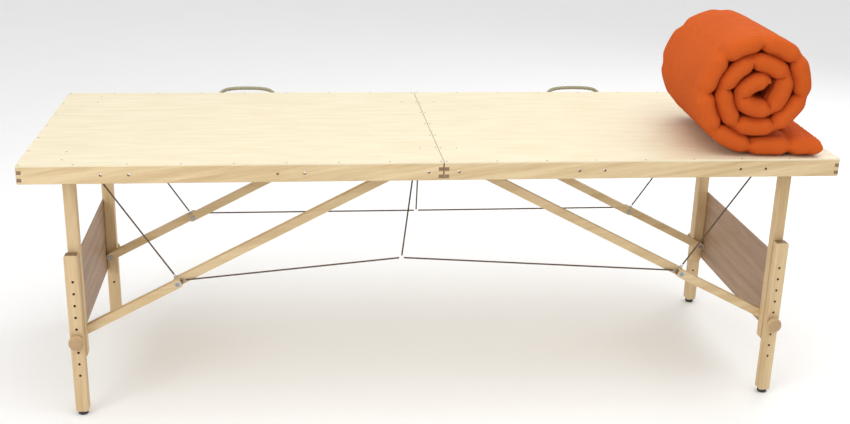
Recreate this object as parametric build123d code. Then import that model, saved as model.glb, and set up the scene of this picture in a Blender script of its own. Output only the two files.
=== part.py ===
from build123d import *
import os
from math import atan2, cos, degrees, hypot, radians, sin, tan

# Folding wooden treatment bed: two shallow trays hinged along their bottom edges, folding leg
# frames with height extensions, folding braces, stay cables, rope handles and a rolled mattress.
# X runs along the bed, Y across it, Z up; the origin is on the floor under the middle.
# Lengths are in millimetres. A side is -1 for the left half or -Y, and +1 for the other.

# Bed
bed_length = 1950
bed_width = 700
bed_height = 660
half_gap = 0.5  # from the middle to each half
top_thickness = 4
rail_height = 41
rail_thickness = 12
edge_radius = 3
bottom_edge_radius = 2.5
top_edge_radius = 1
small_round = 2  # on blocks, posts and panels
finger_height = 9
finger_offset = 5.5  # from the rails' bottom edge to the first finger

# Accessory holes in the front and back rails, by their distance from the middle
accessory_hole_diameter = 7
accessory_hole_places = (326, 388, 725, 788)

# Leg frames
leg_pivot_inset = 98  # from the bed's end
post_width = 29
post_thickness = 22
post_outer_face = 284  # from the middle plane
post_shift = 3.5  # from the pivot line towards the middle
post_bottom = 145
post_round = 12
post_top_margin = 2.5  # above the upper strut's edge
panel_thickness = 4
panel_bottom = 160
panel_top = 370
panel_screw_diameter = 7
panel_screw_dome = 2
panel_screw_spacing = 80

# Leg extensions
extension_width = 32
extension_thickness = 24
extension_shift = 1.5  # from the pivot line towards the bed's end
extension_top = 425
extension_top_round = 7
extension_foot_chamfer = 5
extension_edge_round = 2.5
extension_hole_diameter = 6.6
extension_hole_pitch = 31
extension_hole_count = 9
holes_below_clamp = 3
foot_height = 10
foot_diameter = 24
foot_chamfer = 2
foot_stem_diameter = 8
foot_stem_length = 15

# Clamp bolts and knobs
clamp_height = 202
clamp_bolt_diameter = 6
clamp_head_diameter = 14
clamp_head_height = 3
washer_diameter = 18
washer_thickness = 1.5
knob_diameter = 40
knob_height = 22
knob_neck_diameter = 20
knob_wide_at = 9
knob_rim_inset = 3
knob_flare_drop = 5  # from the widest place to the flare's middle point
knob_dome_inset = 0.72  # of the radius, where the dome begins to flatten
knob_dome_drop = 3.2
knob_hole_depth = 14

# Braces
strut_width = 21
strut_thickness = 17
knee_corner_radius = 7
strut_pivot_inset = 36  # from the middle to the upper struts' pivot
knee_bolt_diameter = 6
knee_head_diameter = 12
knee_head_height = 3
knee_nut_diameter = 13
knee_nut_depth = 5
knee_barrel_diameter = 8
knee_thread_depth = 2

# Pivots under the top
pivot_bolt_diameter = 8
block_length = 48
leg_block_thickness = 22
strut_block_thickness = 18
block_height = 38

# Middle hinges
hinge_place = 235
hinge_length = 90
hinge_leaf_height = 34
hinge_leaf_thickness = 1.5
knuckle_diameter = 8
hinge_pin_diameter = 4

# Cables and rope handles
cable_diameter = 4
stay_anchor_inset = 4  # from the leg blocks' inner faces
drop_anchor_x = -19
front_join_x, front_join_z = -85, 376
back_join_x, back_join_z = 2, 336
join_gap = 1.5  # in cable diameters, round a join
cable_clearance = 0.3  # from an eye to its cable's end
eye_outer_diameter = 8
eye_wire_diameter = 2
rope_diameter = 10
rope_middle = 481
rope_half_width = 81
rope_exit_drop = 2  # below the pivot line
rope_bend = ((0, -12, 0), (0, 18, 0), (3, 33, 18), (30, 36, 31))  # in, out and up from its exit
rope_hole_clearance = 1
rope_corner_share = 0.45  # of the shorter run, taken by each corner's arc

# Rolled mattress
roll_radius = 151
roll_length = 405
roll_middle = 746
roll_front = 335
roll_turn = 4
tail_end = 200
tail_thickness = 42
tail_round = 0.4  # of its thickness
mattress_gap = 0.3

# Clearances
running_gap = 0.5
bolt_gap = 0.6
turning_fit = 0.1  # on the knob's bore
end_flat = 0.4  # left between the two rounds of a strut's end

rail_bottom = bed_height - top_thickness - rail_height
rail_top = bed_height - top_thickness
half_width = bed_width / 2
half_length = bed_length / 2
pivot_x = half_length - leg_pivot_inset
pivot_z = rail_bottom + rail_height / 2
post_inner_face = post_outer_face - post_thickness
lower_outer = post_inner_face - running_gap
lower_inner = lower_outer - strut_thickness
upper_outer = lower_inner - running_gap
upper_inner = upper_outer - strut_thickness
extension_inner = post_outer_face + running_gap
extension_outer = extension_inner + extension_thickness
panel_face = pivot_x - post_shift + post_width / 2
brace_drop = pivot_z - clamp_height
brace_span = pivot_x - strut_pivot_inset
brace_length = hypot(brace_drop, brace_span)
brace_angle = degrees(atan2(brace_drop, brace_span))
# The lower strut's length lets both struts lie flat in one line when the leg is folded.
lower_length = (brace_length - (brace_span - brace_drop)) / 2
upper_length = brace_length - lower_length
knee_x = pivot_x - lower_length * cos(radians(brace_angle))
knee_z = clamp_height + lower_length * sin(radians(brace_angle))

knob_base = extension_outer + washer_thickness
upper_middle = (upper_inner + upper_outer) / 2
rope_exit_z = pivot_z - rope_exit_drop
cable_end_gap = (eye_outer_diameter + cable_diameter) / 2 + cable_clearance
drop_anchor = (drop_anchor_x, 0, rail_top)
joins = {
    -1: (front_join_x, -upper_middle, front_join_z),
    1: (back_join_x, upper_middle, back_join_z),
}

side_names = {-1: "left", 1: "right"}
edge_names = {-1: "front", 1: "back"}


def box(x0, x1, y0, y1, z0, z1):
    low = (min(x0, x1), min(y0, y1), min(z0, z1))
    size = (abs(x1 - x0), abs(y1 - y0), abs(z1 - z0))
    return Pos(*low) * Box(*size, align=(Align.MIN, Align.MIN, Align.MIN))


def rod_y(x, z, y0, y1, diameter):
    """A round bar along Y."""
    middle = (y0 + y1) / 2
    return Pos(x, middle, z) * Rot(90, 0, 0) * Cylinder(diameter / 2, abs(y1 - y0))


def rod_z(x, y, z0, z1, diameter):
    return Pos(x, y, (z0 + z1) / 2) * Cylinder(diameter / 2, abs(z1 - z0))


def edges_along(shape, axis):
    return shape.edges().filter_by(axis)


def group(solids):
    return Compound(children=[s for shape in solids for s in shape.solids()])


nodes = {}


def add(name, *shapes):
    nodes[name] = shapes[0] if len(shapes) == 1 else group(shapes)


# The trays


def tray_ring(side):
    """The four rails of one half as one ring, with its outer edges rounded."""
    near, far = side * half_gap, side * half_length
    ring = box(near, far, -half_width, half_width, rail_bottom, rail_top)
    ring = fillet(edges_along(ring, Axis.Z), edge_radius)
    bottom = [e for e in ring.edges() if abs(e.center().Z - rail_bottom) < 0.01]
    ring = fillet(bottom, bottom_edge_radius)
    inside = box(
        near + side * rail_thickness,
        far - side * rail_thickness,
        -half_width + rail_thickness,
        half_width - rail_thickness,
        rail_bottom - 1,
        rail_top + 1,
    )
    return ring - inside


def finger_bands():
    """The heights where the cross rails' fingers come through the long rails."""
    bands, low = [], rail_bottom + finger_offset
    while low + finger_height < rail_top:
        bands.append((low, low + finger_height))
        low += 2 * finger_height
    return bands


def cross_rail_space(side, outer):
    """Where one cross rail goes: its middle stretch and its fingers."""
    start = side * (half_length if outer else half_gap)
    end = start - side * rail_thickness * (1 if outer else -1)
    inner = half_width - rail_thickness
    space = box(start, end, -inner, inner, rail_bottom, rail_top)
    for low, high in finger_bands():
        space += box(start, end, -half_width, half_width, low, high)
    return space


def hinge_recess(side, edge):
    """Room in a middle rail for a hinge leaf and its knuckles."""
    y0, y1 = (edge * hinge_place - hinge_length / 2, edge * hinge_place + hinge_length / 2)
    leaf_top = rail_bottom + hinge_leaf_height
    leaf = box(0, side * (half_gap + hinge_leaf_thickness), y0, y1, rail_bottom - 1, leaf_top)
    deep = knuckle_diameter / 2 + running_gap
    return leaf + box(0, side * deep, y0, y1, rail_bottom - deep, rail_bottom + deep)


def long_rail_holes(side, edge):
    """Accessory holes, the access hole of the strut pivot, and the rope's holes at the back."""
    y0, y1 = edge * (half_width - rail_thickness - 1), edge * (half_width + 1)
    holes = [
        rod_y(side * x, pivot_z, y0, y1, accessory_hole_diameter)
        for x in (*accessory_hole_places, strut_pivot_inset)
    ]
    if edge > 0:
        across = rope_diameter + rope_hole_clearance
        for end in (-1, 1):
            x = side * rope_middle + end * rope_half_width
            holes.append(rod_y(x, rope_exit_z, y0, y1, across))
    return holes


def make_trays(side):
    name = side_names[side]
    near, far = side * half_gap, side * half_length
    top = box(near, far, -half_width, half_width, rail_top, bed_height)
    top = fillet(edges_along(top, Axis.Z), edge_radius)
    upper = [e for e in top.edges() if abs(e.center().Z - bed_height) < 0.01]
    add(f"{name}_top", fillet(upper, top_edge_radius))
    ring = tray_ring(side)
    end_space, middle_space = (cross_rail_space(side, outer) for outer in (True, False))
    middle_rail = ring & middle_space
    for edge in (-1, 1):
        middle_rail -= hinge_recess(side, edge)
    add(f"{name}_end_rail", ring & end_space)
    add(f"{name}_middle_rail", middle_rail)
    for edge in (-1, 1):
        reach = box(near, far, edge * (half_width - rail_thickness), edge * half_width,
                    rail_bottom, rail_top)
        rail = (ring & reach) - end_space - middle_space
        for hole in long_rail_holes(side, edge):
            rail -= hole
        add(f"{name}_{edge_names[edge]}_rail", rail)


# The pivots under the top


def pivot_block(x, bolt_x, y0, y1):
    """A wooden block glued under the top, with a bore for a pivot bolt."""
    low, high = rail_top - block_height, rail_top
    block = box(x - block_length / 2, x + block_length / 2, y0, y1, low, high)
    block = fillet(edges_along(block, Axis.Z), small_round)
    return block - rod_y(bolt_x, pivot_z, y0, y1, pivot_bolt_diameter)


def make_pivots(side):
    name = side_names[side]
    blocks, bolts = [], []
    leg_lane = (post_inner_face - running_gap, post_outer_face + running_gap)
    strut_lane = (upper_inner - running_gap, upper_outer + running_gap)
    leg_x, strut_bolt_x = side * pivot_x, side * strut_pivot_inset
    strut_x = side * (half_gap + rail_thickness + running_gap + block_length / 2)
    for edge in (-1, 1):
        for x, bolt_x, lane, deep in (
            (leg_x, leg_x, leg_lane, leg_block_thickness),
            (strut_x, strut_bolt_x, strut_lane, strut_block_thickness),
        ):
            y_in, y_out = edge * (lane[0] - deep), edge * (lane[1] + deep)
            blocks.append(pivot_block(x, bolt_x, y_in, edge * lane[0]))
            blocks.append(pivot_block(x, bolt_x, edge * lane[1], y_out))
            bolts.append(rod_y(bolt_x, pivot_z, y_in, y_out, pivot_bolt_diameter))
    add(f"{name}_pivot_blocks", *blocks)
    add(f"{name}_pivot_bolts", *bolts)


# The leg frames


def make_post(side, edge):
    middle = side * (pivot_x - post_shift)
    top = pivot_z + strut_width / 2 + post_top_margin
    y0, y1 = edge * post_inner_face, edge * post_outer_face
    post = box(middle - post_width / 2, middle + post_width / 2, y0, y1, post_bottom, top)
    ends = edges_along(post, Axis.Y)
    post = fillet(ends, post_round)
    long_edges = [e for e in edges_along(post, Axis.Z) if e.length > post_width]
    post = fillet(long_edges, small_round)
    post -= rod_y(side * pivot_x, pivot_z, y0, y1, pivot_bolt_diameter + bolt_gap)
    return post - rod_y(side * pivot_x, clamp_height, y0, y1, clamp_bolt_diameter)


def make_leg_frame(side):
    name = side_names[side]
    for edge in (-1, 1):
        add(f"{name}_{edge_names[edge]}_post", make_post(side, edge))
    back = side * (panel_face + panel_thickness)
    width = post_outer_face
    panel = box(side * panel_face, back, -width, width, panel_bottom, panel_top)
    panel = fillet(edges_along(panel, Axis.X), small_round)
    screws = []
    post_middle = (post_inner_face + post_outer_face) / 2
    for edge in (-1, 1):
        for row in (-1, 0, 1):
            z = (panel_bottom + panel_top) / 2 + row * panel_screw_spacing
            head = Pos(back, edge * post_middle, z) * Rot(0, side * 90, 0)
            across = panel_screw_diameter
            slab = Pos(0, 0, panel_screw_dome / 2) * Box(across, across, panel_screw_dome)
            screws.append(head * (Sphere(across / 2) & slab))
    add(f"{name}_leg_panel", panel)
    add(f"{name}_panel_screws", *screws)
    add(f"{name}_clamp_bolts", *[make_clamp_bolt(side, edge) for edge in (-1, 1)])


def make_clamp_bolt(side, edge):
    """One bolt from the brace's foot to the knob, with a washer under the knob."""
    x = side * pivot_x
    head_end = edge * (lower_inner + clamp_head_height)
    head = rod_y(x, clamp_height, edge * lower_inner, head_end, clamp_head_diameter)
    end = edge * (knob_base + knob_hole_depth)
    shank = rod_y(x, clamp_height, edge * lower_inner, end, clamp_bolt_diameter)
    washer = rod_y(x, clamp_height, edge * extension_outer, edge * knob_base, washer_diameter)
    return head + shank + washer


def make_knob(side, edge):
    """A turned wooden knob: a neck, a wide rim and a low dome."""
    neck, wide = knob_neck_diameter / 2, knob_diameter / 2
    bore = clamp_bolt_diameter + turning_fit
    with BuildPart() as knob:
        with BuildSketch(Plane.XZ):
            with BuildLine():
                Polyline((0, knob_height), (0, 0), (neck, 0))
                ThreePointArc((neck, 0), (wide - knob_rim_inset, knob_wide_at - knob_flare_drop),
                              (wide, knob_wide_at))
                shoulder = (wide * knob_dome_inset, knob_height - knob_dome_drop)
                Spline((wide, knob_wide_at), shoulder, (0, knob_height),
                       tangents=((0, 1), (-1, 0)))
            make_face()
        revolve(axis=Axis.Z)
    body = knob.part - rod_z(0, 0, -1, knob_hole_depth + turning_fit, bore)
    return Pos(side * pivot_x, edge * knob_base, clamp_height) * Rot(-90 * edge, 0, 0) * body


def make_extension(side, edge):
    middle = side * (pivot_x + extension_shift)
    y0, y1 = edge * extension_inner, edge * extension_outer
    left, right = middle - extension_width / 2, middle + extension_width / 2
    leg = box(left, right, y0, y1, foot_height, extension_top)
    tops = [e for e in edges_along(leg, Axis.Y) if e.center().Z > extension_top - 1]
    leg = fillet(tops, extension_top_round)
    feet = [e for e in edges_along(leg, Axis.Y) if e.center().Z < foot_height + 1]
    leg = chamfer(feet, extension_foot_chamfer)
    long_edges = [e for e in edges_along(leg, Axis.Z) if e.length > extension_width]
    leg = fillet(long_edges, extension_edge_round)
    for place in range(extension_hole_count):
        z = clamp_height + (place - holes_below_clamp) * extension_hole_pitch
        leg -= rod_y(side * pivot_x, z, y0, y1, extension_hole_diameter)
    y = (y0 + y1) / 2
    stem_top = foot_height + foot_stem_length
    return leg - rod_z(middle, y, foot_height, stem_top, foot_stem_diameter)


def make_foot(side, edge):
    middle = side * (pivot_x + extension_shift)
    y = edge * (extension_inner + extension_outer) / 2
    pad = chamfer(Cylinder(foot_diameter / 2, foot_height).edges().group_by(Axis.Z)[0], foot_chamfer)
    stem = rod_z(middle, y, foot_height, foot_height + foot_stem_length, foot_stem_diameter)
    return Pos(middle, y, foot_height / 2) * pad + stem


# The braces


def strut(x0, z0, x1, z1, y0, y1):
    """A flat bar between two bolt centres, round at its first end and blunter at the knee."""
    length, angle = hypot(x1 - x0, z1 - z0), degrees(atan2(z1 - z0, x1 - x0))
    half = (length + strut_width) / 2
    bar = Box(2 * half, abs(y1 - y0), strut_width)
    for end, radius in ((-1, (strut_width - end_flat) / 2), (1, knee_corner_radius)):
        corners = [e for e in edges_along(bar, Axis.Y) if end * e.center().X > half - 0.1]
        bar = fillet(corners, radius)
    middle = ((x0 + x1) / 2, (y0 + y1) / 2, (z0 + z1) / 2)
    return Pos(*middle) * Rot(0, -angle, 0) * bar


def make_braces(side):
    name = side_names[side]
    ax, kx, bx = side * pivot_x, side * knee_x, side * strut_pivot_inset
    lowers, nuts, uppers, bolts, stay_eyes, run_eyes = [], [], [], [], [], []
    for edge in (-1, 1):
        y0, y1 = edge * lower_inner, edge * lower_outer
        lower = strut(ax, clamp_height, kx, knee_z, y0, y1)
        lower -= rod_y(ax, clamp_height, y0, y1, clamp_bolt_diameter + bolt_gap)
        sink = edge * (lower_inner + clamp_head_height + running_gap)
        lower -= rod_y(ax, clamp_height, y0, sink, clamp_head_diameter + 2 * bolt_gap)
        nut_face = edge * (lower_outer - knee_nut_depth)
        nut = rod_y(kx, knee_z, nut_face, y1, knee_nut_diameter)
        nut += rod_y(kx, knee_z, y0, y1, knee_barrel_diameter)
        nut -= rod_y(kx, knee_z, edge * (lower_outer - knee_thread_depth), y1, knee_bolt_diameter)
        lowers.append(lower - nut - rod_y(kx, knee_z, y0, y1, knee_bolt_diameter))
        nuts.append(nut)
        run_eyes.append(make_eye(run_eye_centre(side, edge)))
        y0, y1 = edge * upper_inner, edge * upper_outer
        upper = strut(bx, pivot_z, kx, knee_z, y0, y1)
        upper -= rod_y(bx, pivot_z, y0, y1, pivot_bolt_diameter + bolt_gap)
        stay_eye = make_eye(stay_eye_centre(side, edge))
        uppers.append(upper - rod_y(kx, knee_z, y0, y1, knee_bolt_diameter) - stay_eye)
        head_out = edge * (upper_inner - knee_head_height)
        head = rod_y(kx, knee_z, head_out, y0, knee_head_diameter)
        bolts.append(head + rod_y(kx, knee_z, y0, y1, knee_bolt_diameter))
        stay_eyes.append(stay_eye)
    add(f"{name}_lower_struts", *lowers)
    add(f"{name}_knee_nuts", *nuts)
    add(f"{name}_upper_struts", *uppers)
    add(f"{name}_knee_bolts", *bolts)
    add(f"{name}_stay_eyes", *stay_eyes)
    add(f"{name}_run_eyes", *run_eyes)


def stay_eye_centre(side, edge):
    """The middle of the ring let into the upper strut's top edge at the knee."""
    lift = strut_width / 2 + eye_outer_diameter / 2 - eye_wire_diameter / 2
    turn = radians(brace_angle)
    return (side * (knee_x + lift * sin(turn)), edge * upper_middle, knee_z + lift * cos(turn))


def run_eye_centre(side, edge):
    """The middle of the ring on the lower strut's end, beyond the knee."""
    reach = strut_width / 2 + eye_outer_diameter / 2
    turn = radians(brace_angle)
    y = edge * (lower_inner + eye_outer_diameter / 2)
    return (side * (knee_x - reach * cos(turn)), y, knee_z + reach * sin(turn))


def make_eye(centre):
    ring = Torus((eye_outer_diameter - eye_wire_diameter) / 2, eye_wire_diameter / 2)
    return Pos(*centre) * Rot(90, 0, 0) * ring


# The middle hinges


def make_hinge_leaf(side, edge):
    """A leaf standing against the middle rail, with every second knuckle of three."""
    y0 = edge * hinge_place - hinge_length / 2 + running_gap
    y1 = edge * hinge_place + hinge_length / 2 - running_gap
    x0, x1 = side * half_gap, side * (half_gap + hinge_leaf_thickness)
    leaf = box(x0, x1, y0, y1, rail_bottom, rail_bottom + hinge_leaf_height - running_gap)
    third = (y1 - y0) / 3
    mine = (1,) if side > 0 else (0, 2)
    for place in range(3):
        low, high = y0 + place * third + running_gap / 2, y0 + (place + 1) * third
        high -= running_gap / 2
        if place in mine:
            leaf += rod_y(0, rail_bottom, low, high, knuckle_diameter)
        else:
            leaf -= rod_y(0, rail_bottom, low - running_gap, high + running_gap,
                          knuckle_diameter + 2 * running_gap)
    bore = hinge_pin_diameter + bolt_gap / 2
    return leaf - rod_y(0, rail_bottom, y0 - 1, y1 + 1, bore)


def make_hinges():
    for side in (-1, 1):
        leaves = [make_hinge_leaf(side, edge) for edge in (-1, 1)]
        add(f"{side_names[side]}_hinge_leaves", *leaves)
    half = hinge_length / 2 - running_gap
    pins = [
        rod_y(0, rail_bottom, edge * hinge_place - half, edge * hinge_place + half,
              hinge_pin_diameter)
        for edge in (-1, 1)
    ]
    add("hinge_pins", *pins)


# Cables and ropes


def tube(points, diameter, radii=None):
    """A round cord along straight runs, joined by tangent arcs where radii are given."""
    points = [Vector(*p) for p in points]
    path = FilletPolyline(*points, radius=radii) if radii else Line(*points)
    start = Plane(origin=points[0], z_dir=points[1] - points[0])
    return sweep(start * Circle(diameter / 2), path=path)


def between(start, end, trim_start, trim_end):
    """Two points on the line from start to end, each moved in from its end."""
    start, end = Vector(*start), Vector(*end)
    way = (end - start).normalized()
    return [tuple(start + way * trim_start), tuple(end - way * trim_end)]


def make_cables():
    """Stays from the knees up to the top, runs from the knees to the joins, and two drops."""
    trim = cable_diameter * join_gap
    for side in (-1, 1):
        stays, runs = [], []
        for edge, join in joins.items():
            anchor_y = edge * (post_inner_face - running_gap - leg_block_thickness
                               - stay_anchor_inset)
            anchor = (side * (pivot_x - block_length / 2), anchor_y, rail_top)
            ends = between(stay_eye_centre(side, edge), anchor, cable_end_gap, cable_diameter)
            stays.append(tube(ends, cable_diameter))
            ends = between(run_eye_centre(side, edge), join, cable_end_gap, trim)
            runs.append(tube(ends, cable_diameter))
        add(f"{side_names[side]}_stay_cables", *stays)
        add(f"{side_names[side]}_run_cables", *runs)
    drops = [tube(between(drop_anchor, join, trim, trim), cable_diameter)
             for join in joins.values()]
    add("drop_cables", *drops)


def rope_route(side):
    """The rope handle's route: out of one hole, up and over, and into the other."""
    half = [(rope_half_width - inward, half_width + out, rope_exit_z + up)
            for inward, out, up in rope_bend]
    whole = [(-u, y, z) for u, y, z in half] + half[::-1]
    return [(side * rope_middle + u, y, z) for u, y, z in whole]


def corner_radii(points):
    """As large an arc at each corner as its two runs allow."""
    radii = []
    for a, b, c in zip(points, points[1:], points[2:]):
        first, second = Vector(*b) - Vector(*a), Vector(*c) - Vector(*b)
        turn = radians(first.get_angle(second))
        radii.append(rope_corner_share * min(first.length, second.length) / tan(turn / 2))
    return radii


def make_ropes():
    for side in (-1, 1):
        points = rope_route(side)
        add(f"{side_names[side]}_rope_handle", tube(points, rope_diameter, corner_radii(points)))


# The rolled mattress


def make_mattress():
    """The outline of the roll with its loose tail, as long as the mattress is wide."""
    top = roll_radius * 2
    roll = Pos(0, roll_length / 2, roll_radius) * Rot(90, 0, 0) * Cylinder(roll_radius, roll_length)
    tail = box(0, tail_end, 0, roll_length, 0, tail_thickness)
    ends = [e for e in edges_along(tail, Axis.Y) if e.center().X > tail_end - 1]
    tail = fillet(ends, tail_thickness * tail_round)
    roll = (roll + tail) - box(-top, top, -1, roll_length + 1, -top, mattress_gap)
    place = Pos(roll_middle, -roll_front, bed_height) * Rot(0, 0, -roll_turn)
    add("mattress_roll", place * roll)


for side in (-1, 1):
    make_trays(side)
    make_pivots(side)
    make_leg_frame(side)
    make_braces(side)
    for edge in (-1, 1):
        corner = f"{side_names[side]}_{edge_names[edge]}"
        add(f"{corner}_extension", make_extension(side, edge))
        add(f"{corner}_foot", make_foot(side, edge))
        add(f"{corner}_knob", make_knob(side, edge))
make_hinges()
make_cables()
make_ropes()
make_mattress()

os.makedirs("parts", exist_ok=True)
for name, shape in nodes.items():
    export_step(shape, f"parts/{name}.step")
print(len(nodes), "nodes")
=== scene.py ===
import bpy
import bmesh
from math import cos, pi, radians, sin
from mathutils import Matrix, Vector


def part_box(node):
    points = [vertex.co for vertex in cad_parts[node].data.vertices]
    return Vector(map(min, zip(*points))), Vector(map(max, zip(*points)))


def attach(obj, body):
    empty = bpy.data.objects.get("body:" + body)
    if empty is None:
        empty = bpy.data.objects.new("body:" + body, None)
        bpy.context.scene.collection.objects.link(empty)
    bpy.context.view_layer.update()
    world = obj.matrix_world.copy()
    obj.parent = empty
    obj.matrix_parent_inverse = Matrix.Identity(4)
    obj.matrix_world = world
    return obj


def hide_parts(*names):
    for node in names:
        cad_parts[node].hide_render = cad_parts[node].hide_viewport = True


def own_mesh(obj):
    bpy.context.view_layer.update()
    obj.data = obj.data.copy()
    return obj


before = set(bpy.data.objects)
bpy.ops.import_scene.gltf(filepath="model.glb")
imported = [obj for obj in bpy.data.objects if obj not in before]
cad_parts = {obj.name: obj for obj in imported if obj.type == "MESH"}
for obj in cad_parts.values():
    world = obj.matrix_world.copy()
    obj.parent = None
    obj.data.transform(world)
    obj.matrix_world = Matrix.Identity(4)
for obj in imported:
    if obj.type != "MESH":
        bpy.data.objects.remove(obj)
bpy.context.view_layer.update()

print("camera, lights and floor")

eye = {"place": (-0.3551, -2.9250, 1.4452), "yaw": 6.921, "pitch": -19.304, "roll": 1.504,
       "focalLength": 1156.99, "imageWidth": 850, "sensor": 36}


def makeCamera():
    cam = bpy.data.cameras.new("camera")
    cam.sensor_width = eye["sensor"]
    cam.lens = eye["focalLength"] / eye["imageWidth"] * eye["sensor"]
    obj = bpy.data.objects.new("camera", cam)
    bpy.context.scene.collection.objects.link(obj)
    yaw, pitch, roll = (radians(eye[k]) for k in ("yaw", "pitch", "roll"))
    look = Vector((sin(yaw) * cos(pitch), cos(yaw) * cos(pitch), sin(pitch)))
    right = Vector((cos(yaw), -sin(yaw), 0))
    up = right.cross(look)
    sideways = right * cos(roll) + up * sin(roll)
    upright = up * cos(roll) - right * sin(roll)
    turn = Matrix((sideways, upright, -look)).transposed().to_4x4()
    obj.matrix_world = Matrix.Translation(eye["place"]) @ turn
    bpy.context.scene.camera = obj


skyLight = 0.78
lamps = {
    "overhead": {"place": (0.4, -0.6, 3.4), "size": 3.2, "power": 52},
    "frontLeft": {"place": (-2.8, -3.0, 2.2), "size": 2.2, "power": 44},
    "backRight": {"place": (2.6, 2.4, 2.4), "size": 2.0, "power": 24},
}


def makeLights():
    bpy.context.scene.view_settings.view_transform = "Standard"
    for name, lamp in lamps.items():
        light = bpy.data.lights.new(name, "AREA")
        light.size, light.energy = lamp["size"], lamp["power"]
        obj = bpy.data.objects.new(name, light)
        obj.location = lamp["place"]
        aim = Vector((0, 0, 0.4)) - Vector(lamp["place"])
        obj.rotation_euler = aim.to_track_quat("-Z", "Y").to_euler()
        bpy.context.scene.collection.objects.link(obj)
    world = bpy.data.worlds.new("softWhite")
    bpy.context.scene.world = world
    world.use_nodes = True
    sky = world.node_tree.nodes["Background"]
    sky.inputs["Color"].default_value = (1, 1, 1, 1)
    sky.inputs["Strength"].default_value = skyLight


class Socket:
    def __init__(self, paint, link):
        self.paint, self.link = paint, link

    def maths(self, operation, *values):
        settings = {"operation": operation}
        return self.paint.node("ShaderNodeMath", settings, dict(enumerate(values)))

    def __add__(self, other): return self.maths("ADD", self, other)
    def __radd__(self, other): return self.maths("ADD", other, self)
    def __mul__(self, other): return self.maths("MULTIPLY", self, other)
    def __rmul__(self, other): return self.maths("MULTIPLY", other, self)
    def __gt__(self, other): return self.maths("GREATER_THAN", self, other)
    def __abs__(self): return self.maths("ABSOLUTE", self)


class Paint:
    def __init__(self, name):
        self.material = bpy.data.materials.new(name)
        self.material.use_nodes = True
        self.tree = self.material.node_tree
        self.shader = self.tree.nodes["Principled BSDF"]

    def fill(self, node, sockets):
        for key, value in sockets.items():
            if isinstance(value, Socket):
                self.tree.links.new(value.link, node.inputs[key])
            else:
                node.inputs[key].default_value = value

    def node(self, kind, settings=None, sockets=None, out=0):
        node = self.tree.nodes.new(kind)
        for key, value in (settings or {}).items():
            if key == "stops":
                ramp = node.color_ramp.elements
                while len(ramp) < len(value):
                    ramp.new(0.5)
                for stop, (place, colour) in zip(ramp, value):
                    stop.position, stop.color = place, (*colour, 1)
            else:
                setattr(node, key, value)
        self.fill(node, sockets or {})
        return Socket(self, node.outputs[out])

    def place(self, scale=(1, 1, 1), turn=(0, 0, 0)):
        coords = self.node("ShaderNodeTexCoord", out="Object")
        turned = self.node("ShaderNodeMapping", {}, {"Vector": coords, "Rotation": turn})
        return self.node("ShaderNodeMapping", {}, {"Vector": turned, "Scale": scale})

    def noise(self, vector, scale, detail=4, rough=0.5):
        sockets = {"Vector": vector, "Scale": scale, "Detail": detail, "Roughness": rough}
        return self.node("ShaderNodeTexNoise", {}, sockets)

    def ramp(self, factor, stops):
        return self.node("ShaderNodeValToRGB", {"stops": stops}, {"Fac": factor})

    def mix(self, factor, first, second):
        asColour = [v if isinstance(v, Socket) else (*v, 1) for v in (first, second)]
        sockets = {0: factor, 6: asColour[0], 7: asColour[1]}
        return self.node("ShaderNodeMix", {"data_type": "RGBA"}, sockets, out=2)

    def axisOf(self, vector, axis):
        return self.node("ShaderNodeSeparateXYZ", {}, {0: vector}, out=axis)

    def faces(self, axis):
        normal = self.node("ShaderNodeNewGeometry", out="Normal")
        return abs(self.axisOf(normal, axis)) > 0.7

    def bump(self, height, distance, strength=0.6):
        sockets = {"Height": height, "Distance": distance, "Strength": strength}
        return self.node("ShaderNodeBump", {}, sockets)

    def done(self, sockets):
        self.fill(self.shader, sockets)
        return self.material


def makeFloor():
    mesh = bpy.data.meshes.new("floor")
    half = 9
    corners = [(-half, -half, 0), (half, -half, 0), (half, half, 0), (-half, half, 0)]
    mesh.from_pydata(corners, [], [(0, 1, 2, 3)])
    floor = bpy.data.objects.new("floor", mesh)
    bpy.context.scene.collection.objects.link(floor)
    paint = Paint("paleFloor")
    cloud = paint.noise(paint.place(), 3)
    colour = paint.mix(cloud, (0.93, 0.93, 0.93), (0.96, 0.96, 0.96))
    mesh.materials.append(paint.done({"Base Color": colour, "Roughness": 0.75}))


makeCamera()
makeLights()
makeFloor()

print("materials")

grains = {
    "along x": {"stretch": (1.6, 34, 34), "turn": (0, radians(9), 0), "end": 0},
    "along y": {"stretch": (34, 1.6, 34), "turn": (0, 0, 0), "end": 1},
    "along z": {"stretch": (34, 34, 1.6), "turn": (0, 0, 0), "end": 2},
}


def wood(name, light, dark, endGrain, grain, roughness=0.5, streak=0.45):
    paint = Paint(name)
    run = grains[grain]
    spot = paint.place(run["stretch"], run["turn"])
    figure = paint.noise(spot, 1.4, 5, 0.55)
    fibre = paint.noise(spot, 9, 6, 0.7)
    pores = paint.noise(spot, 26, 3, 0.6)
    broad = paint.noise(paint.place(), 5, 2)
    body = paint.ramp(figure * 0.6 + fibre * 0.4, [(0.34, dark), (0.60, light)])
    fleckRange = {"Value": pores, "From Min": 0.60, "From Max": 0.72}
    flecks = paint.node("ShaderNodeMapRange", {}, fleckRange)
    colour = paint.mix(flecks * streak, body, dark)
    colour = paint.mix(broad * 0.25, colour, tuple(c * 0.82 for c in light))
    colour = paint.mix(paint.faces(run["end"]) * 0.85, colour, endGrain)
    height = fibre * 0.6 + pores * 0.4
    return paint.done({"Base Color": colour, "Roughness": fibre * 0.25 + (roughness - 0.12),
                       "Normal": paint.bump(height, 0.0004)})


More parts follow.
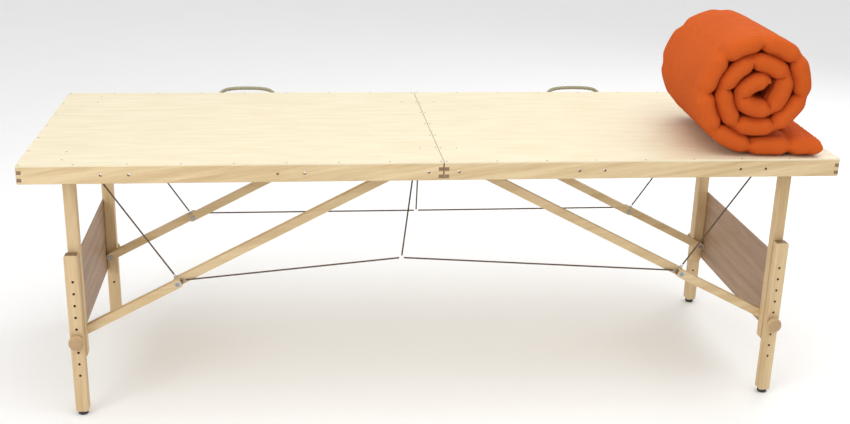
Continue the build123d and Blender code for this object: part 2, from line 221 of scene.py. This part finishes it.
def metal(name, colour, roughness, metallic=0.9):
    paint = Paint(name)
    brushed = paint.noise(paint.place((6, 90, 6)), 12, 5, 0.7)
    tint = paint.mix(brushed, tuple(c * 0.7 for c in colour), colour)
    return paint.done({"Base Color": tint, "Metallic": metallic,
                       "Roughness": brushed * 0.3 + (roughness - 0.15),
                       "Normal": paint.bump(brushed, 0.0002, 0.3)})


def plain(name, colour, roughness, scale):
    paint = Paint(name)
    grit = paint.noise(paint.place(), scale, 6, 0.7)
    tint = paint.mix(grit, tuple(c * 0.6 for c in colour), tuple(min(1, c * 1.3) for c in colour))
    return paint.done({"Base Color": tint, "Roughness": roughness,
                       "Normal": paint.bump(grit, 0.0005)})


def braid(name, colour, pitch, distance):
    paint = Paint(name)
    waves = [paint.node("ShaderNodeTexWave", {"bands_direction": "DIAGONAL"},
                        {"Vector": paint.place((1, s, s)), "Scale": pitch, "Distortion": 1.5})
             for s in (1, -1)]
    weave = waves[0] * 0.5 + waves[1] * 0.5
    hair = paint.noise(paint.place(), 900, 3)
    tint = paint.mix(weave * 0.7 + hair * 0.3, tuple(c * 0.45 for c in colour), colour)
    return paint.done({"Base Color": tint, "Roughness": 0.85, "Normal": paint.bump(weave, distance)})


def cotton(name, light, dark):
    paint = Paint(name)
    warp = [paint.node("ShaderNodeTexWave", {"bands_direction": way},
                       {"Vector": paint.place(), "Scale": 260, "Distortion": 0.6})
            for way in ("X", "Y", "Z")]
    weave = warp[0] * 0.34 + warp[1] * 0.33 + warp[2] * 0.33
    # Painted light and shade: the light tone is the cloth's lit top and the dark tone its shaded
    # face, blended here in large patches.
    litAndShadedPatches = paint.noise(paint.place(), 7, 4)
    shadedCreases = paint.noise(paint.place((1, 3, 1)), 34, 5, 0.6)
    # Painted shade: the crease valleys take the dark, shaded tone and the ridges the light, lit
    # tone.
    tint = paint.mix(litAndShadedPatches * 0.6 + shadedCreases * 0.3, dark, light)
    tint = paint.mix(weave * 0.18, tint, tuple(c * 0.7 for c in dark))
    height = shadedCreases * 0.85 + weave * 0.15
    return paint.done({"Base Color": tint, "Roughness": 0.95, "Specular IOR Level": 0.15,
                       "Normal": paint.bump(height, 0.0022, 0.55)})


tan, brown, deep = (0.72, 0.56, 0.33), (0.50, 0.33, 0.15), (0.16, 0.09, 0.045)
finishes = {
    "top": wood("birchTop", (0.80, 0.72, 0.53), (0.72, 0.62, 0.41), tan, "along x", 0.5, 0.12),
    "longRail": wood("railAlong", tan, brown, deep, "along x"),
    "crossRail": wood("railAcross", tan, brown, deep, "along y"),
    "upright": wood("legWood", (0.66, 0.49, 0.28), brown, deep, "along z"),
    "brace": wood("braceWood", (0.68, 0.52, 0.30), brown, deep, "along x"),
    "turned": wood("turnedKnob", (0.55, 0.38, 0.20), brown, (0.40, 0.26, 0.13), "along y", 0.35),
    "panel": wood("brownPly", (0.42, 0.27, 0.17), (0.24, 0.14, 0.08), deep, "along y"),
    "steel": metal("zincSteel", (0.42, 0.43, 0.45), 0.42),
    "rubber": plain("footRubber", (0.045, 0.043, 0.04), 0.8, 300),
    "cable": braid("braidedCable", (0.15, 0.095, 0.055), 160, 0.0006),
    "rope": braid("twistedRope", (0.46, 0.43, 0.29), 48, 0.0016),
    # Painted light and shade: the first cotton colour is the lit top's tone, the second the shaded
    # face's tone.
    "cotton": cotton("orangeCotton", (0.66, 0.125, 0.017), (0.48, 0.075, 0.010)),
}
nodeFinish = {
    "_top": "top", "front_rail": "longRail", "back_rail": "longRail", "end_rail": "crossRail",
    "middle_rail": "crossRail", "pivot_blocks": "longRail", "_post": "upright",
    "_extension": "upright", "_struts": "brace", "_knob": "turned", "leg_panel": "panel",
    "_foot": "rubber", "_bolts": "steel", "_screws": "steel", "_nuts": "steel",
    "_eyes": "steel", "_leaves": "steel", "_pins": "steel",
}


def paintFrame():
    for name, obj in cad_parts.items():
        for ending, finish in nodeFinish.items():
            if name.endswith(ending):
                obj.data.materials.clear()
                obj.data.materials.append(finishes[finish])


paintFrame()

print("cables and rope handles")

sideNames = {-1: "left", 1: "right"}
edgeNames = {-1: "front", 1: "back"}
cable = {"thick": 0.004, "stayEye": (0.6437, 0.2355, 0.33742), "stayTop": (0.853, 0.2355, 0.656),
         "runEye": (0.62472, 0.2485, 0.33204), "trim": 0.006,
         "joins": {-1: (-0.085, -0.2355, 0.376), 1: (0.002, 0.2355, 0.336)},
         "dropTop": (-0.019, 0, 0.656), "eyeGap": 0.0063, "underTop": 0.655, "flat": 0.04}
rope = {"thick": 0.010, "middle": 0.481, "edge": 0.35, "exitHeight": 0.6335,
        "bend": ((0.081, -0.012, 0), (0.081, 0.018, 0), (0.078, 0.033, 0.018),
                 (0.051, 0.036, 0.031))}


def makeCord(name, points, thick, finish):
    curve = bpy.data.curves.new(name, "CURVE")
    curve.dimensions = "3D"
    curve.bevel_depth, curve.bevel_resolution = thick / 2, 4
    curve.resolution_u = 16
    curve.use_fill_caps = True
    line = curve.splines.new("NURBS")
    line.points.add(len(points) - 1)
    for point, spot in zip(line.points, points):
        point.co = (*spot, 1)
    line.order_u = 3
    line.use_endpoint_u = True
    curve.materials.append(finishes[finish])
    obj = bpy.data.objects.new(name, curve)
    bpy.context.scene.collection.objects.link(obj)
    return obj


def tautCord(name, start, end, trims, body, node):
    start, end = Vector(start), Vector(end)
    way = (end - start).normalized()
    first, last = start + way * trims[0], end - way * trims[1]
    line = makeCord(name + "Line", [first, (first + last) / 2, last], cable["thick"], "cable")
    path = linePoints(line)
    obj = asMesh(line, name)
    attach(obj, body)
    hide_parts(node)
    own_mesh(obj)
    (last - first).length


def mirrored(point, side, edge):
    return (side * point[0], edge * point[1], point[2])


def makeCables():
    eyeGap, topGap, trim = (cable[k] for k in ("eyeGap", "thick", "trim"))
    for side, sideName in sideNames.items():
        body = f"{sideName}_half"
        for edge, edgeName in edgeNames.items():
            tautCord(f"{sideName}{edgeName.title()}Stay", mirrored(cable["stayEye"], side, edge),
                     mirrored(cable["stayTop"], side, edge), (eyeGap, topGap), body,
                     f"{sideName}_stay_cables")
            tautCord(f"{sideName}{edgeName.title()}Run", mirrored(cable["runEye"], side, edge),
                     cable["joins"][edge], (eyeGap, trim), body,
                     f"{sideName}_run_cables")
    for edge, join in cable["joins"].items():
        tautCord(f"{edgeNames[edge]}Drop", cable["dropTop"], join, (trim, trim), "left_half",
                 "drop_cables")


def makeRopes():
    for side, sideName in sideNames.items():
        half = [(u, rope["edge"] + out, rope["exitHeight"] + up) for u, out, up in rope["bend"]]
        route = [(-u, y, z) for u, y, z in half] + half[::-1]
        route = [(side * rope["middle"] + u, y, z) for u, y, z in route]
        obj = makeCord(f"{sideName}RopeHandle", route, rope["thick"], "rope")
        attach(obj, f"{sideName}_half")
        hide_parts(f"{sideName}_rope_handle")
        spots = linePoints(obj)


def linePoints(obj):
    copy = obj.data.copy()
    copy.bevel_depth = 0
    bare = bpy.data.objects.new("bareLine", copy)
    mesh = bpy.data.meshes.new_from_object(bare)
    spots = [v.co.copy() for v in mesh.vertices]
    bpy.data.objects.remove(bare)
    bpy.data.curves.remove(copy)
    bpy.data.meshes.remove(mesh)
    return spots


def asMesh(line, name):
    mesh = bpy.data.meshes.new_from_object(line)
    mesh.name = name
    bpy.data.objects.remove(line)
    obj = bpy.data.objects.new(name, mesh)
    bpy.context.scene.collection.objects.link(obj)
    for face in mesh.polygons:
        face.use_smooth = True
    return obj


makeCables()
makeRopes()

print("nails")

nail = {"pitch": 0.118, "head": 0.0026, "rise": 0.0005, "inset": 0.006, "sides": 12,
        "near": 0.0065, "far": 0.975, "edge": 0.35, "overEndPost": 0.095,
        "acrossEndPost": (0.045, 0.110), "overHinge": (0.045, 0.117)}


def nailSpots(side):
    spots = []
    near, far, edge, inset = (nail[k] for k in ("near", "far", "edge", "inset"))
    count = round((far - near) / nail["pitch"])
    for i in range(count + 1):
        x = near + (far - inset - near) * i / count
        spots += [(side * x, end * (edge - inset)) for end in (-1, 1)]
    rows = round(2 * edge / nail["pitch"])
    for i in range(1, rows):
        y = -edge + inset + 2 * (edge - inset) * i / rows
        spots += [(side * near, y), (side * (far - inset), y)]
    for end in (-1, 1):
        spots += [(side * (far - nail["overEndPost"]), end * (edge - a))
                  for a in nail["acrossEndPost"]]
        along, across = nail["overHinge"]
        spots.append((side * along, end * (edge - across)))
    return spots


def makeNails(side):
    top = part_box(f"{sideNames[side]}_top")[1][2]
    shape = bmesh.new()
    for x, y in nailSpots(side):
        rings = []
        for out, up in ((1, -0.2), (1, 0.35), (0.6, 1)):
            radius, height = nail["head"] * out, top + nail["rise"] * up
            rings.append([shape.verts.new((x + radius * cos(a), y + radius * sin(a), height))
                          for a in (2 * pi * k / nail["sides"] for k in range(nail["sides"]))])
        for low, high in zip(rings, rings[1:]):
            for k in range(nail["sides"]):
                m = (k + 1) % nail["sides"]
                shape.faces.new((low[k], low[m], high[m], high[k]))
        shape.faces.new(rings[-1])
        shape.faces.new(rings[0][::-1])
    name = f"{sideNames[side]}Nails"
    mesh = bpy.data.meshes.new(name)
    shape.to_mesh(mesh)
    shape.free()
    mesh.materials.append(finishes["steel"])
    obj = bpy.data.objects.new(name, mesh)
    bpy.context.scene.collection.objects.link(obj)
    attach(obj, f"{sideNames[side]}_half")


for side in sideNames:
    makeNails(side)

print("rolled mattress")

futon = {"middle": 0.757, "front": 0.335, "turn": -4, "length": 0.405, "radius": 0.151,
         "outer": 0.1275, "pitch": 0.0425, "turns": 2.62, "tail": 0.178, "thick": 0.044,
         "pad": 0.0985, "firstPad": 0.085, "pinch": 0.55, "chord": 0.5, "tuft": 0.067,
         "steps": 460, "around": 36, "swell": 0.0025, "ridge": 0.0225, "ridgeHeight": 0.0011,
         "tuftDepth": 0.0045, "wrinkle": 0.0062, "wrinkleHeight": 0.0007,
         "stepFrom": 0.55, "bedTop": 0.660, "endRound": 0.020, "rimRound": 0.022,
         "pinchReach": 0.026, "pinchFromRim": 0.055, "pinchInside": 0.22, "puckerDepth": 0.007,
         "puckerReach": 0.018, "puckerFromRim": 0.05, "seamHalf": 0.004,
         "quiltFromRim": 0.03, "tuftReach": 0.024, "bend": 0.25, "bendReach": 0.04,
         "wrinkleReach": 0.020, "wrinkleFromRim": 0.035, "tailSteps": 40, "rollSteps": 900,
         "pressure": 4, "frames": 20, "quality": 5}


def spiralLine():
    # From the tail's end along the top, then clockwise round the roll; each turn steps inwards
    # at the lower right, where it tucks under the one outside it.
    points, tailSteps, rollSteps = [], futon["tailSteps"], futon["rollSteps"]
    for i in range(tailSteps):
        points.append(Vector((futon["tail"] * (1 - i / tailSteps), 0)))
    for i in range(rollSteps + 1):
        turn = futon["turns"] * i / rollSteps
        late = max(0, (turn % 1 - futon["stepFrom"]) / (1 - futon["stepFrom"]))
        radius = futon["outer"] - futon["pitch"] * (turn // 1 + late * late * (3 - 2 * late))
        angle = -pi / 2 - 2 * pi * turn
        points.append(Vector((radius * cos(angle), futon["outer"] + radius * sin(angle))))
    lengths = [0]
    for a, b in zip(points, points[1:]):
        lengths.append(lengths[-1] + (b - a).length)
    return points, lengths


def seamPlace(along):
    # How many pads from the tail's end, so that whole numbers are the seams.
    return (along - futon["firstPad"]) / futon["pad"] + 1


def straightened(spots):
    # Each pad is stiffer than the seam, so the roll is partly a polygon with its corners there.
    corners = {}
    for along, spot in spots:
        near = round(seamPlace(along))
        off = abs(seamPlace(along) - near)
        if near not in corners or off < corners[near][0]:
            corners[near] = (off, spot)
    result = []
    for along, spot in spots:
        place = seamPlace(along)
        low = int(place // 1)
        if low in corners and low + 1 in corners and corners[low + 1][0] < 0.1 and low > 0:
            chord = corners[low][1].lerp(corners[low + 1][1], place - low)
            spot = spot.lerp(chord, futon["chord"])
        result.append((along, spot))
    return result


def evenly(points, lengths, count):
    spots, j = [], 0
    for i in range(count + 1):
        goal = lengths[-1] * i / count
        while j < len(lengths) - 2 and lengths[j + 1] < goal:
            j += 1
        share = (goal - lengths[j]) / max(1e-9, lengths[j + 1] - lengths[j])
        spots.append((goal, points[j].lerp(points[j + 1], share)))
    return spots


def nearness(distance, reach):
    return 1 - min(1, distance / reach)


def makeMattress():
    line, lengths = spiralLine()
    spots = straightened(evenly(line, lengths, futon["steps"]))
    total, half = lengths[-1], futon["length"] / 2
    rim, lift = futon["thick"] / 2, futon["radius"] - futon["outer"]
    place = Matrix.Translation((futon["middle"], -futon["front"], futon["bedTop"]))
    place = place @ Matrix.Rotation(radians(futon["turn"]), 4, "Z")
    shape, rings, held, facts = bmesh.new(), [], [], []
    for i, (along, spot) in enumerate(spots):
        before, after = spots[max(0, i - 1)][1], spots[min(len(spots) - 1, i + 1)][1]
        way = (after - before).normalized()
        out = Vector((-way.y, way.x))
        phase = seamPlace(along)
        toSeam = abs(phase - round(phase)) * futon["pad"]
        ends = min(1, min(along, total - along) / futon["endRound"])
        closing = (max(0.02, ends * (2 - ends))) ** 0.5
        ring = []
        for side in (1, -1):
            for k in range(futon["around"]):
                across = -cos(pi * (k + 0.5) / futon["around"]) * side
                y = across * half
                toRim = half - abs(y)
                edgeShare = min(1, toRim / futon["rimRound"])
                body = (edgeShare * (2 - edgeShare)) ** 0.5
                byRim = nearness(toRim, futon["pinchFromRim"]) ** 1.5
                inside = futon["pinchInside"]
                depth = futon["pinch"] * (inside + (1 - inside) * byRim)
                crown = 1 - depth * nearness(toSeam, futon["pinchReach"]) ** 2
                thick = rim * crown * body * closing
                pucker = futon["puckerDepth"] * nearness(toSeam, futon["puckerReach"])
                pucker *= nearness(toRim, futon["puckerFromRim"])
                facts.append((along, y, 1 if side > 0 else -1))
                y -= pucker if y > 0 else -pucker
                flat = spot + out * thick * side
                if toSeam < futon["seamHalf"]:
                    held.append(i * 2 * futon["around"] + len(ring))
                ring.append(shape.verts.new(place @ Vector((flat.x, half + y, flat.y + lift))))
        rings.append(ring)
    size = len(rings[0])
    for low, high in zip(rings, rings[1:]):
        for k in range(size):
            m = (k + 1) % size
            shape.faces.new((low[k], low[m], high[m], high[k]))
    shape.faces.new(rings[0][::-1])
    shape.faces.new(rings[-1])
    bmesh.ops.recalc_face_normals(shape, faces=shape.faces)
    mesh = bpy.data.meshes.new("rolledMattress")
    shape.to_mesh(mesh)
    shape.free()
    for name, column in (("along", 0), ("across", 1)):
        layer = mesh.attributes.new(name, "FLOAT", "POINT")
        layer.data.foreach_set("value", [fact[column] for fact in facts])
    obj = bpy.data.objects.new("rolledMattress", mesh)
    bpy.context.scene.collection.objects.link(obj)
    swell(obj, held)
    obj.modifiers.new("finer", "SUBSURF").levels = 1
    finer = obj.evaluated_get(bpy.context.evaluated_depsgraph_get())
    obj.data = bpy.data.meshes.new_from_object(finer)
    obj.modifiers.clear()
    quilt(obj.data, half)
    for face in obj.data.polygons:
        face.use_smooth = True
    obj.data.materials.clear()
    obj.data.materials.append(finishes["cotton"])
    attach(obj, "mattress")
    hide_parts("mattress_roll")


def quilt(mesh, half):
    # Tufts in rows along the seams, shallow ridges between them, and wrinkles by the seams' ends.
    along, across = ([d.value for d in mesh.attributes[n].data] for n in ("along", "across"))
    normals = [v.normal.copy() for v in mesh.vertices]
    for vertex, normal, a, y in zip(mesh.vertices, normals, along, across):
        phase = seamPlace(a)
        toSeam = abs(phase - round(phase)) * futon["pad"]
        toRim = half - abs(y)
        inside = min(1, toRim / futon["quiltFromRim"])
        row = 0.5 * (round(phase) % 2)
        wave = cos(pi * (y / futon["tuft"] + row)) ** 2
        drop = futon["tuftDepth"] * wave ** 3 * nearness(toSeam, futon["tuftReach"]) ** 2 * inside
        bend = futon["bend"] * nearness(toSeam, futon["bendReach"]) * (1 - wave)
        ridge = futon["ridgeHeight"] * cos(2 * pi * (y / futon["ridge"] + bend)) * inside
        close = nearness(toSeam, futon["wrinkleReach"]) * nearness(toRim, futon["wrinkleFromRim"])
        wrinkle = futon["wrinkleHeight"] * cos(2 * pi * a / futon["wrinkle"]) * close
        vertex.co += normal * (ridge + wrinkle - drop)


def swell(obj, held):
    before = [v.co.copy() for v in obj.data.vertices]
    group = obj.vertex_groups.new(name="seams")
    group.add(held, 1, "REPLACE")
    cloth = obj.modifiers.new("cloth", "CLOTH")
    settings = cloth.settings
    settings.use_pressure, settings.uniform_pressure_force = True, futon["pressure"]
    settings.vertex_group_mass = "seams"
    settings.effector_weights.gravity = 0
    settings.quality = futon["quality"]
    scene = bpy.context.scene
    for step in range(1, futon["frames"] + 1):
        scene.frame_set(step)
    moved = obj.evaluated_get(bpy.context.evaluated_depsgraph_get()).to_mesh()
    after = [v.co.copy() for v in moved.vertices]
    obj.modifiers.remove(cloth)
    for vertex, old, new in zip(obj.data.vertices, before, after):
        step = new - old
        if step.length > futon["swell"]:
            step = step.normalized() * futon["swell"]
        vertex.co = old + step
    obj.vertex_groups.clear()
    scene.frame_set(1)


makeMattress()
